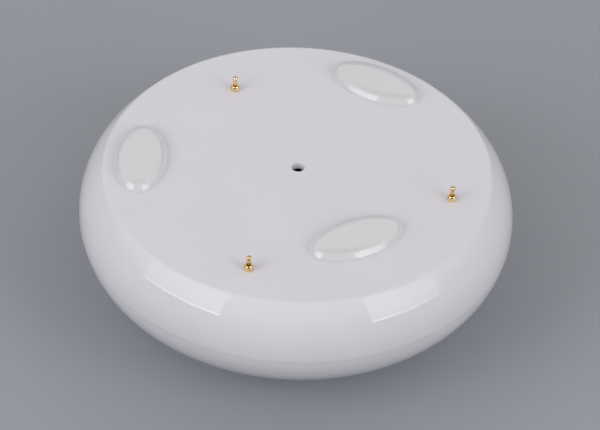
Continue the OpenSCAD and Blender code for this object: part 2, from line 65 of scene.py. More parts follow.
class Body(Enum):
    """Bodies of the part that a piece rides on."""

    BASE = "base"
    PLUNGER_1 = "plunger_1"
    PLUNGER_2 = "plunger_2"
    PLUNGER_3 = "plunger_3"


class Slot(Enum):
    """Finishes that the part's pieces take."""

    SHELL = "shell_plastic"
    SEAL = "seal_rubber"
    SILICONE = "clear_silicone"
    GOLD = "gold_plate"
    SPRING = "spring_steel"
    LAMINATE = "board_laminate"
    FASTENER = "fastener_steel"
    WRAP = "cell_wrap"
    CRADLE = "cradle_plastic"
    LEAF = "nickel_leaf"
    TERMINAL = "terminal_plastic"
    FOAM = "gasket_foam"
    COPPER = "copper_wire"
    CHIP = "chip_black"
    FERRITE = "ferrite"
    CAN = "can_aluminium"
    CERAMIC = "passive_ceramic"
    SWITCH = "switch_plastic"
    BUTTON = "button_plastic"
    LAMP = "lamp_plastic"
    CLEAR = "clear_plastic"


class Axis(Enum):
    """Axes of the shared frame."""

    X = "X"
    Y = "Y"
    Z = "Z"


class Place(Enum):
    """Coordinates that a node tree's patterns follow."""

    MATERIAL = "Object"
    ROOM = "Generated"


class Ray(Enum):
    """Kinds of light ray that a material can tell apart."""

    CAMERA = "Is Camera Ray"
    SHADOW = "Is Shadow Ray"
    DIFFUSE = "Is Diffuse Ray"


class Signal:
    """A shader socket that takes part in Python expressions on values."""

    def __init__(self, graph: Graph, socket: bpy.types.NodeSocket) -> None:
        """Keeps the socket and the graph that it belongs to."""
        self.graph = graph
        self.socket = socket

    def _math(self, operation: str, *terms: Signal | float) -> Signal:
        """Adds a Math node of one operation on the terms, in order, and gives its result."""
        made = self.graph.node("ShaderNodeMath", {"operation": operation}, dict(enumerate(terms)))
        return Signal(self.graph, made.outputs[0])

    def __add__(self, other: Signal | float) -> Signal:
        """Sum of two values."""
        return self._math("ADD", self, other)

    __radd__ = __add__

    def __sub__(self, other: Signal | float) -> Signal:
        """Difference of two values."""
        return self._math("SUBTRACT", self, other)

    def __rsub__(self, other: float) -> Signal:
        """Number less this value."""
        return self._math("SUBTRACT", other, self)

    def __mul__(self, other: Signal | float) -> Signal:
        """Product of two values."""
        return self._math("MULTIPLY", self, other)

    __rmul__ = __mul__

    def __gt__(self, other: Signal | float) -> Signal:
        """One where this value is the larger, else nothing."""
        return self._math("GREATER_THAN", self, other)

    def __lt__(self, other: Signal | float) -> Signal:
        """One where this value is the smaller, else nothing: the reflected form of the test above."""
        return self._math("LESS_THAN", self, other)

    def __abs__(self) -> Signal:
        """Size of the value without its sign."""
        return self._math("ABSOLUTE", self)

    def sine(self) -> Signal:
        """Sine of the value."""
        return self._math("SINE", self)

    def raised(self) -> Signal:
        """Wave between minus one and one as a height between nothing and one."""
        return 0.5 + 0.5 * self

    def between(self, low: float, high: float) -> Signal:
        """Share of the way from low to high, held between nothing and one.

        Args:
            low: value that gives nothing.
            high: value that gives one.

        Returns:
            The share.
        """
        made = self.graph.node(
            "ShaderNodeMapRange",
            {"interpolation_type": "SMOOTHSTEP"},
            {"Value": self, "From Min": low, "From Max": high},
        )
        return Signal(self.graph, made.outputs["Result"])


class Graph:
    """The node tree of one material or of the room's light."""

    # Places of a Mix node's share and colours among its inputs, and of its colour among its outputs
    MIX_INPUTS = (0, 6, 7)
    MIX_OUTPUT = 2

    def __init__(self, owner: bpy.types.Material | bpy.types.World, place: Place = Place.MATERIAL) -> None:
        """Empties the owner's node tree and reads its coordinates.

        Args:
            owner: the material or the world.
            place: the coordinates that its patterns follow.
        """
        owner.use_nodes = True
        self.tree = owner.node_tree
        self.tree.nodes.clear()
        self.place = Signal(self, self.node("ShaderNodeTexCoord").outputs[place.value])

    def node(
        self,
        kind: str,
        settings: dict[str, object] | None = None,
        sockets: dict[str | int, object] | None = None,
    ) -> bpy.types.Node:
        """Adds a node.

        Args:
            kind: the node's type.
            settings: its own settings, which are set first.
            sockets: values or links of its sockets.

        Returns:
            The node.
        """
        made = self.tree.nodes.new(kind)
        for key, value in (settings or {}).items():
            setattr(made, key, value)
        for key, value in (sockets or {}).items():
            if isinstance(value, Signal):
                self.tree.links.new(value.socket, made.inputs[key])
            else:
                made.inputs[key].default_value = value
        return made

    def part(self, vector: Signal, axis: Axis) -> Signal:
        """One component of a vector."""
        parts = self.node("ShaderNodeSeparateXYZ", None, {"Vector": vector})
        return Signal(self, parts.outputs[axis.value])

    def along(self, axis: Axis) -> Signal:
        """Place along one axis, in millimetres."""
        return self.part(self.place, axis) * (1 / MM)

    def wave(self, axis: Axis, length: float) -> Signal:
        """Sine along one axis that repeats after a length, in millimetres."""
        return (self.along(axis) * (math.tau / length)).sine()

    def noise(self, size: float, detail: float = 2.0, harshness: float = 0.5) -> Signal:
        """Soft noise.

        Args:
            size: width of its features, in millimetres.
            detail: octaves of finer noise.
            harshness: weight of those octaves.

        Returns:
            A value around one half.
        """
        made = self.node(
            "ShaderNodeTexNoise",
            {"noise_dimensions": "3D"},
            {"Vector": self.place, "Scale": 1 / (size * MM), "Detail": detail, "Roughness": harshness},
        )
        return Signal(self, made.outputs["Fac"])

    def cells(self, size: float) -> Signal:
        """Distance pattern of scattered cells.

        Args:
            size: width of a cell, in millimetres.

        Returns:
            The distance from the middle of the nearest cell, in widths of a cell.
        """
        made = self.node(
            "ShaderNodeTexVoronoi",
            {"feature": "F1"},
            {"Vector": self.place, "Scale": 1 / (size * MM)},
        )
        return Signal(self, made.outputs["Distance"])

    def mix(self, share: Signal, first: Colour | Signal, second: Colour | Signal) -> Signal:
        """Mix of two colours.

        Args:
            share: how much of the second is in it.
            first: colour where the share is nothing.
            second: colour where the share is one.

        Returns:
            The colour.
        """
        ends = [colour if isinstance(colour, Signal) else (*colour, 1.0) for colour in (first, second)]
        sockets = dict(zip(self.MIX_INPUTS, (share, *ends)))
        made = self.node("ShaderNodeMix", {"data_type": "RGBA"}, sockets)
        return Signal(self, made.outputs[self.MIX_OUTPUT])

    def bump(self, height: Signal, depth: float) -> Signal:
        """Fine relief.

        Args:
            height: its height, from nothing to one.
            depth: what one stands for, in millimetres.

        Returns:
            The normal that it gives.
        """
        sockets = {"Height": height, "Distance": depth * MM, "Strength": 1.0}
        made = self.node("ShaderNodeBump", None, sockets)
        return Signal(self, made.outputs["Normal"])

    def steepness(self) -> Signal:
        """How far the surface leans from level: nothing on a level face, one on an upright side."""
        normal = Signal(self, self.node("ShaderNodeNewGeometry").outputs["Normal"])
        return 1 - abs(self.part(normal, Axis.Z))

    def entering(self) -> Signal:
        """One where a ray meets the surface from outside, nothing where it leaves the piece."""
        return 1 - Signal(self, self.node("ShaderNodeNewGeometry").outputs["Backfacing"])

    def ray(self, kind: Ray) -> Signal:
        """One for rays of that kind, nothing for others."""
        return Signal(self, self.node("ShaderNodeLightPath").outputs[kind.value])

    def surface(self, sockets: dict[str | int, object], lets_light: Signal | None = None) -> None:
        """Ends the material in its shader.

        Args:
            sockets: values or links of the shader's sockets.
            lets_light: share of the light that passes straight through to what lies behind, if any does.
        """
        shader = Signal(self, self.node("ShaderNodeBsdfPrincipled", None, sockets).outputs["BSDF"])
        if lets_light is not None:
            lighting = self.ray(Ray.SHADOW) + self.ray(Ray.DIFFUSE)
            way = Signal(self, self.node("ShaderNodeBsdfTransparent").outputs["BSDF"])
            inputs = dict(enumerate((lighting * lets_light, shader, way)))
            shader = Signal(self, self.node("ShaderNodeMixShader", None, inputs).outputs["Shader"])
        self.node("ShaderNodeOutputMaterial", None, {"Surface": shader})


@dataclass(frozen=True)
class Finish:
    """A surface finish that makes its own material."""

    name: str

    def material(self) -> bpy.types.Material:
        """Makes the finish's material.

        Returns:
            The material, with its nodes.
        """
        made = bpy.data.materials.new(self.name)
        self.dress(Graph(made))
        return made

    def dress(self, graph: Graph) -> None:
        """Adds the finish's nodes to a graph; each kind of finish has its own."""
        raise NotImplementedError


@dataclass(frozen=True)
class MouldedPlastic(Finish):
    """Injection-moulded plastic: faint clouds in its tone and gloss, and a fine orange peel."""

    colour: Colour
    shade: Colour
    roughness: float
    change: float
    cloud: float = 14.0
    peel: float = 1.1
    depth: float = 0.0012
    gloss: float = 0.31
    ior: float = 1.5
    cloud_edge: Point2 = (0.3, 0.7)

    def dress(self, graph: Graph) -> None:
        """Adds the plastic's nodes.

        Args:
            graph: the material's graph.
        """
        cloud = graph.noise(self.cloud, detail=3.0)
        peel = graph.noise(self.peel, detail=1.0)
        graph.surface(
            {
                "Base Color": graph.mix(cloud.between(*self.cloud_edge), self.shade, self.colour),
                "Roughness": self.roughness + self.change * (cloud - NOISE_MEAN),
                "IOR": self.ior,
                "Specular IOR Level": self.gloss,
                "Normal": graph.bump(peel, self.depth),
            }
        )


@dataclass(frozen=True)
class ClearElastomer(Finish):
    """Water-clear silicone or acrylic, with a slightly uneven skin."""

    colour: Colour
    roughness: float
    change: float
    ior: float
    ripple: float
    depth: float
    coat: float = 0.0
    coat_haze: float = 0.14
    milk: float = 0.1
    deep: float = 0.97
    haze_share: float = 0.25
    haze_edge: Point2 = (0.35, 0.65)
    steep: Point2 = (0.06, 0.36)

    def dress(self, graph: Graph) -> None:
        """Adds the clear material's nodes.

        Args:
            graph: the material's graph.
        """
        ripple = graph.noise(self.ripple)
        haze = graph.noise(self.haze_share * self.ripple)
        deep = tuple(self.deep * c for c in self.colour)
        graph.surface(
            {
                "Base Color": graph.mix(haze.between(*self.haze_edge), deep, self.colour),
                "Roughness": self.roughness + self.change * (haze - NOISE_MEAN),
                "Normal": graph.bump(ripple, self.depth),
                "Transmission Weight": 1 - self.milk,
                "IOR": self.ior,
                "Coat Weight": self.coat,
                "Coat Roughness": self.coat_haze,
            },
            lets_light=1 - graph.steepness().between(*self.steep) * graph.entering(),
        )


@dataclass(frozen=True)
class PlatedMetal(Finish):
    """Drawn, turned or plated metal: fine marks round its axis and a faint change of tone."""

    colour: Colour
    shade: Colour
    roughness: float
    change: float
    mark: float = 0.06
    depth: float = 0.0006
    tone_marks: float = 30.0
    tone_edge: Point2 = (0.35, 0.7)
    wander: float = 3.0
    wander_marks: float = 8.0

    def dress(self, graph: Graph) -> None:
        """Adds the metal's nodes.

        Args:
            graph: the material's graph.
        """
        tone = graph.noise(self.tone_marks * self.mark, detail=3.0)
        wander = self.wander * graph.noise(self.wander_marks * self.mark)
        turning = (graph.along(Axis.Z) * (math.tau / self.mark) + wander).sine()
        graph.surface(
            {
                "Base Color": graph.mix(tone.between(*self.tone_edge), self.colour, self.shade),
                "Metallic": 1.0,
                "Roughness": self.roughness + self.change * (tone - NOISE_MEAN),
                "Normal": graph.bump(turning.raised(), self.depth),
            }
        )


@dataclass(frozen=True)
class BoardLaminate(Finish):
    """Solder-masked glass laminate: groups of straight copper runs that show through, over a fine weave."""

    mask: Colour
    run: Colour
    weave: float = 0.5
    lane: float = 0.9
    lane_edge: Point2 = (0.3, 0.5)
    group: float = 9.0
    group_edge: Point2 = (0.49, 0.51)
    free: float = 14.4
    free_edge: Point2 = (0.53, 0.55)
    run_tone: float = 0.7
    cloth_tone: float = 0.15
    cloth_rise: float = 0.3
    roughness: float = 0.34
    run_gloss: float = 0.08
    depth: float = 0.02

    def dress(self, graph: Graph) -> None:
        """Adds the board's nodes.

        Args:
            graph: the material's graph.
        """
        across = graph.wave(Axis.X, self.lane).between(*self.lane_edge)
        along = graph.wave(Axis.Y, self.lane).between(*self.lane_edge)
        group = graph.noise(self.group, detail=0.0).between(*self.group_edge)
        free = graph.noise(self.free, detail=0.0).between(*self.free_edge)
        run = (group * across + (1 - group) * along) * (1 - free)
        warp_and_weft = graph.wave(Axis.X, self.weave) - graph.wave(Axis.Y, self.weave)
        cloth = (0.5 * warp_and_weft).raised()
        graph.surface(
            {
                "Base Color": graph.mix(self.run_tone * run + self.cloth_tone * cloth, self.mask, self.run),
                "Roughness": self.roughness - self.run_gloss * run,
                "Normal": graph.bump(run + self.cloth_rise * cloth, self.depth),
            }
        )


@dataclass(frozen=True)
class CellWrap(Finish):
    """Shrink sleeve of a round cell, with bare steel at its two ends."""

    sleeve: Colour
    band: Colour
    steel: Colour
    half_length: float
    rim: float = 0.6
    band_from: float = 0.55
    crinkle: float = 3.0
    roughness: float = 0.28
    change: float = 0.12
    depth: float = 0.03

    def dress(self, graph: Graph) -> None:
        """Adds the sleeve's nodes.

        Args:
            graph: the material's graph.
        """
        along = graph.along(Axis.X)
        bare = abs(along) > self.half_length - self.rim
        band = along > self.half_length * self.band_from
        crinkle = graph.noise(self.crinkle, detail=3.0)
        tone = graph.mix(band, self.sleeve, self.band)
        graph.surface(
            {
                "Base Color": graph.mix(bare, tone, self.steel),
                "Metallic": bare,
                "Roughness": self.roughness + self.change * crinkle,
                "Normal": graph.bump(crinkle, self.depth),
            }
        )


@dataclass(frozen=True)
class PorousRubber(Finish):
    """Rubber or foam with small pores and a dusty bloom."""

    colour: Colour
    bloom: Colour
    pore: float
    depth: float
    roughness: float
    change: float = 0.1
    pore_edge: Point2 = (0.1, 0.45)
    bloom_size: float = 5.0
    bloom_edge: Point2 = (0.4, 0.75)

    def dress(self, graph: Graph) -> None:
        """Adds the rubber's nodes.

        Args:
            graph: the material's graph.
        """
        pore = graph.cells(self.pore).between(*self.pore_edge)
        bloom = graph.noise(self.bloom_size, detail=4.0)
        graph.surface(
            {
                "Base Color": graph.mix(bloom.between(*self.bloom_edge), self.colour, self.bloom),
                "Roughness": self.roughness + self.change * (bloom - NOISE_MEAN),
                "Normal": graph.bump(pore, self.depth),
            }
        )


@dataclass(frozen=True)
class FiredCeramic(Finish):
    """Fired or pressed powder, speckled and dull."""

    colour: Colour
    speck: Colour
    roughness: float
    change: float = 0.1
    grain: float = 0.12
    harshness: float = 0.7
    speck_edge: Point2 = (0.5, 0.8)
    depth: float = 0.004

    def dress(self, graph: Graph) -> None:
        """Adds the ceramic's nodes.

        Args:
            graph: the material's graph.
        """
        speck = graph.noise(self.grain, harshness=self.harshness)
        graph.surface(
            {
                "Base Color": graph.mix(speck.between(*self.speck_edge), self.colour, self.speck),
                "Roughness": self.roughness + self.change * (speck - NOISE_MEAN),
                "Normal": graph.bump(speck, self.depth),
            }
        )


@dataclass(frozen=True)
class StudioCard(Finish):
    """Pale matt card of the studio table, with a hint of fibre, that throws little light on the part."""

    colour: Colour
    shade: Colour
    thrown: Colour
    fibre: float = 0.5
    drift: float = 160.0
    drift_share: float = 0.6
    drift_edge: Point2 = (0.3, 0.7)
    roughness: float = 0.7
    change: float = 0.1
    depth: float = 0.01
    gloss: float = 0.3

    def dress(self, graph: Graph) -> None:
        """Adds the card's nodes.

        Args:
            graph: the material's graph.
        """
        fibre = graph.noise(self.fibre, detail=3.0)
        drift = graph.noise(self.drift, detail=1.0).between(*self.drift_edge)
        share = self.drift_share * drift + (1 - self.drift_share) * fibre
        seen = graph.mix(share, self.shade, self.colour)
        graph.surface(
            {
                # Painted shade: camera rays see the card's pale colour, but the light it throws back on the
                # part takes the darker thrown colour, which darkens the part's lower rim
                "Base Color": graph.mix(graph.ray(Ray.CAMERA), self.thrown, seen),
                "Roughness": self.roughness + self.change * (fibre - NOISE_MEAN),
                "Normal": graph.bump(fibre, self.depth),
                "Specular IOR Level": self.gloss,
            }
        )


FINISHES: dict[Slot, Finish] = {
    Slot.SHELL: MouldedPlastic(
        "shell_white", (0.83, 0.811, 0.857), (0.815, 0.797, 0.842), roughness=0.055, change=0.03
    ),
    Slot.SEAL: PorousRubber(
        "seal_ring_rubber", (0.03, 0.03, 0.032), (0.07, 0.07, 0.07), pore=0.2, depth=0.006, roughness=0.6
    ),
    Slot.SILICONE: ClearElastomer(
        "pad_silicone",
        (0.918, 0.951, 0.908),
        roughness=0.06,
        change=0.03,
        ior=1.43,
        ripple=3.0,
        depth=0.03,
        coat=0.8,
    ),
    Slot.GOLD: PlatedMetal(
        "probe_gold", (0.95, 0.73, 0.41), (0.85, 0.61, 0.31), roughness=0.035, change=0.02, depth=0.0003
    ),
    Slot.SPRING: PlatedMetal(
        "spring_wire", (0.62, 0.61, 0.59), (0.45, 0.44, 0.43), roughness=0.25, change=0.1
    ),
    Slot.LAMINATE: BoardLaminate("board_mask", (0.012, 0.09, 0.035), (0.04, 0.2, 0.08)),
    Slot.FASTENER: PlatedMetal(
        "screw_zinc",
        (0.68, 0.69, 0.7),
        (0.5, 0.51, 0.54),
        roughness=0.3,
        change=0.12,
        mark=0.25,
        depth=0.004,
    ),
    Slot.WRAP: CellWrap(
        "cell_sleeve", (0.02, 0.05, 0.16), (0.5, 0.51, 0.53), (0.7, 0.7, 0.69), half_length=17.25
    ),
    Slot.CRADLE: MouldedPlastic(
        "cradle_black",
        (0.03, 0.03, 0.032),
        (0.022, 0.022, 0.024),
        roughness=0.42,
        change=0.08,
        cloud=6.0,
        peel=0.5,
        depth=0.01,
    ),
    Slot.LEAF: PlatedMetal(
        "contact_nickel",
        (0.72, 0.69, 0.63),
        (0.58, 0.55, 0.5),
        roughness=0.28,
        change=0.1,
        mark=0.2,
        depth=0.003,
    ),
    Slot.TERMINAL: MouldedPlastic(
        "terminal_green",
        (0.03, 0.27, 0.1),
        (0.024, 0.22, 0.085),
        roughness=0.38,
        change=0.08,
        cloud=4.0,
        peel=0.4,
        depth=0.008,
    ),
    Slot.FOAM: PorousRubber(
        "sounder_foam", (0.05, 0.05, 0.055), (0.1, 0.1, 0.1), pore=0.35, depth=0.12, roughness=0.9
    ),
    Slot.COPPER: PlatedMetal(
        "antenna_copper",
        (0.93, 0.52, 0.36),
        (0.7, 0.36, 0.24),
        roughness=0.24,
        change=0.1,
        mark=0.15,
        depth=0.002,
    ),
    Slot.CHIP: MouldedPlastic(
        "chip_epoxy",
        (0.022, 0.022, 0.024),
        (0.035, 0.035, 0.037),
        roughness=0.55,
        change=0.1,
        cloud=1.5,
        peel=0.12,
        depth=0.006,
    ),
    Slot.FERRITE: FiredCeramic("choke_ferrite", (0.06, 0.058, 0.06), (0.13, 0.125, 0.12), roughness=0.62),
    Slot.CAN: PlatedMetal(
        "capacitor_can",
        (0.8, 0.81, 0.82),
        (0.66, 0.67, 0.69),
        roughness=0.3,
        change=0.1,
        mark=0.3,
        depth=0.004,
    ),
    Slot.CERAMIC: FiredCeramic("chip_ceramic", (0.42, 0.33, 0.22), (0.55, 0.45, 0.32), roughness=0.45),
    Slot.SWITCH: MouldedPlastic(
        "switch_black",
        (0.035, 0.035, 0.037),
        (0.026, 0.026, 0.028),
        roughness=0.4,
        change=0.08,
        cloud=3.0,
        peel=0.3,
        depth=0.006,
    ),
    Slot.BUTTON: MouldedPlastic(
        "button_ivory",
        (0.72, 0.69, 0.6),
        (0.66, 0.63, 0.54),
        roughness=0.35,
        change=0.06,
        cloud=2.0,
        peel=0.3,
        depth=0.005,
    ),
    Slot.LAMP: MouldedPlastic(
        "lamp_white",
        (0.8, 0.8, 0.74),
        (0.74, 0.74, 0.68),
        roughness=0.25,
        change=0.05,
        cloud=1.5,
        peel=0.2,
        depth=0.003,
    ),
    Slot.CLEAR: ClearElastomer(
        "guide_acrylic",
        (0.98, 0.985, 0.985),
        roughness=0.04,
        change=0.02,
        ior=1.49,
        ripple=2.0,
        depth=0.004,
    ),
}
# The last colour is the darker one that the card throws back on the part: painted shade on the part's lower
# rim
TABLE_CARD = StudioCard("table_card", (0.4, 0.417, 0.452), (0.38, 0.397, 0.431), (0.218, 0.234, 0.266))


class Wardrobe:
    """Materials of the part, each made once."""

    def __init__(self) -> None:
        """Makes the material of every slot."""
        self.materials = {slot: finish.material() for slot, finish in FINISHES.items()}

    def dress_node(self, node: bpy.types.Object) -> None:
        """Gives a solid of the part the material of its own slot.

        Args:
            node: the solid's object.
        """
        for place in node.material_slots:
            plain = place.material.name.split(".")[0]
            place.material = self.materials[Slot(plain)]
            LOG.info("solid %s wears %s", node.name, place.material.name)

    def settle(self, piece: bpy.types.Object, slot: Slot, body: Body, *nodes: str) -> None:
        """Dresses a new piece, puts it on its body and lets it stand for its solids.

        Args:
            piece: the new piece.
            slot: the finish that it takes.
            body: the body that it moves with.
            nodes: the solids that it stands for.
        """
        piece.data.materials.append(self.materials[slot])
        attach(piece, body.value)
        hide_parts(*nodes)
        LOG.info("piece %s rides on %s", piece.name, body.value)


def to_object(name: str, mesh_work: bmesh.types.BMesh, crease: float = 40.0) -> bpy.types.Object:
    """Turns mesh work into a smooth object in the scene.

    Args:
        name: the object's name.
        mesh_work: the mesh work, in metres.
        crease: angle, in degrees, above which an edge stays sharp.

    Returns:
        The object.
    """
    bmesh.ops.recalc_face_normals(mesh_work, faces=mesh_work.faces)
    mesh = bpy.data.meshes.new(name)
    mesh_work.to_mesh(mesh)
    mesh_work.free()
    mesh.polygons.foreach_set("use_smooth", [True] * len(mesh.polygons))
    mesh.set_sharp_from_angle(angle=math.radians(crease))
    made = bpy.data.objects.new(name, mesh)
    bpy.context.scene.collection.objects.link(made)
    return made


def skin(mesh_work: bmesh.types.BMesh, rings: Sequence[Sequence[Vector]]) -> None:
    """Spans faces between closed rings of points; a ring of one point is a pole.

    Args:
        mesh_work: the mesh work that gets them.
        rings: the rings, in order.
    """
    made = [[mesh_work.verts.new(point) for point in ring] for ring in rings]
    for lower, upper in zip(made, made[1:]):
        count = max(len(lower), len(upper))
        for i in range(count):
            j = (i + 1) % count
            below = [lower[i % len(lower)], lower[j % len(lower)]]
            above = [upper[j % len(upper)], upper[i % len(upper)]]
            mesh_work.faces.new(list(dict.fromkeys(below + above)))


def turns(count: int) -> list[float]:
    """Angles, in radians, of points spread evenly round a circle."""
    return [math.tau * i / count for i in range(count)]


def lathe(name: str, profile: Sequence[Point2], centre: Point2, sides: int) -> bpy.types.Object:
    """Turns a profile round an upright axis.

    Args:
        name: the object's name.
        profile: radius and height of each point.
        centre: place of the axis.
        sides: points round the axis.

    Returns:
        The turned object.
    """
    work = bmesh.new()
    axis = Vector((*centre, 0))
    rings = []
    for radius, height in profile:
        ring = []
        for turn in turns(sides if radius > 0 else 1):
            ring.append((axis + Vector((radius * math.cos(turn), radius * math.sin(turn), height))) * MM)
        rings.append(ring)
    skin(work, rings)
    return to_object(name, work)


def arc(centre: Point2, radius: float, start: float, stop: float, steps: int) -> list[Point2]:
    """Points of an arc, from a start angle to a stop angle in degrees, over a number of steps."""
    angles = [math.radians(start + (stop - start) * i / steps) for i in range(steps + 1)]
    return [(centre[0] + radius * math.cos(a), centre[1] + radius * math.sin(a)) for a in angles]


@dataclass
class Housing:
    """Heights of the closed body that the dressed pieces need."""

    underside_z: float = 26.4912
    board_top: float = 22.4912

    def dress(self, wardrobe: Wardrobe) -> None:
        """Gives every solid of the part its finish from the wardrobe."""
        for name in sorted(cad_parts):
            wardrobe.dress_node(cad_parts[name])


@dataclass
class FootPad:
    """Clear silicone foot: an oval with a rounded side, a soft shoulder and a slightly crowned top."""

    number: int
    centre: Point2
    direction: float
    base_z: float
    half_width: float = 4.35
    half_length: float = 8.2
    height: float = 1.5
    foot_tilt: float = 86.0
    foot_r: float = 0.6
    flank_tilt: float = 60.0
    flank_r: float = 3.2
    brow_tilt: float = 43.0
    shoulder_tilt: float = 16.0
    shoulder_r: float = 5.0
    top_tilt: float = 3.0
    crown: float = 0.05
    bond: float = 0.02
    points: int = 160
    span_rings: int = 8
    top_rings: int = 12
    crease: float = 75.0

    def ring(self, inset: float, scale: float, height: float) -> list[Vector]:
        """Points round the pad.

        Args:
            inset: distance in from the pad's edge.
            scale: shrink towards the middle after that.
            height: height over the underside.

        Returns:
            The points, in metres.
        """
        turned = Matrix.Rotation(math.radians(self.direction), 3, "Z")
        middle = Vector((*self.centre, self.base_z + height))
        found = []
        for turn in turns(self.points):
            across, along = math.cos(turn), math.sin(turn)
            edge = Vector((self.half_width * across, self.half_length * along, 0))
            outward = Vector((self.half_length * across, self.half_width * along, 0)).normalized()
            found.append((middle + turned @ ((edge - inset * outward) * scale)) * MM)
        return found

    def side(self) -> list[Point2]:
        """Finds the side's points, from its foot over flank and brow to the soft shoulder.

        Returns:
            The inset and the height of each.
        """
        bounds = (self.foot_tilt, self.flank_tilt, self.brow_tilt, self.shoulder_tilt, self.top_tilt)
        tilts = [math.radians(tilt) for tilt in bounds]
        spans = list(zip(tilts, tilts[1:]))
        foot, flank, brow, shoulder = [math.cos(high) - math.cos(low) for low, high in spans]
        rest = self.height - self.crown
        rest -= self.foot_r * foot + self.flank_r * flank + self.shoulder_r * shoulder
        radii = (self.foot_r, self.flank_r, rest / brow, self.shoulder_r)
        found = [(0.0, 0.0)]
        for radius, (low, high) in zip(radii, spans):
            inset, level = found[-1]
            for i in range(1, self.span_rings + 1):
                tilt = low + (high - low) * i / self.span_rings
                inward = radius * (math.sin(low) - math.sin(tilt))
                upward = radius * (math.cos(tilt) - math.cos(low))
                found.append((inset + inward, level + upward))
        return found

    def build(self) -> bpy.types.Object:
        """Builds the pad's closed mesh.

        Returns:
            The pad.
        """
        side = self.side()
        rings = [self.ring(0, 1, -self.bond)]
        rings += [self.ring(inset, 1, level) for inset, level in side]
        for i in range(1, self.top_rings):
            scale = 1 - i / self.top_rings
            rings.append(self.ring(side[-1][0], scale, self.height - self.crown * scale * scale))
        underside = Vector((*self.centre, self.base_z - self.bond)) * MM
        summit = Vector((*self.centre, self.base_z + self.height)) * MM
        work = bmesh.new()
        skin(work, [[underside], *rings, [summit]])
        return to_object(f"foot_pad_{self.number}_silicone", work, self.crease)

    def dress(self, wardrobe: Wardrobe) -> None:
        """Builds the pad and puts it on the base, with its finish from the wardrobe."""
        wardrobe.settle(self.build(), Slot.SILICONE, Body.BASE, f"foot_pad_{self.number}")


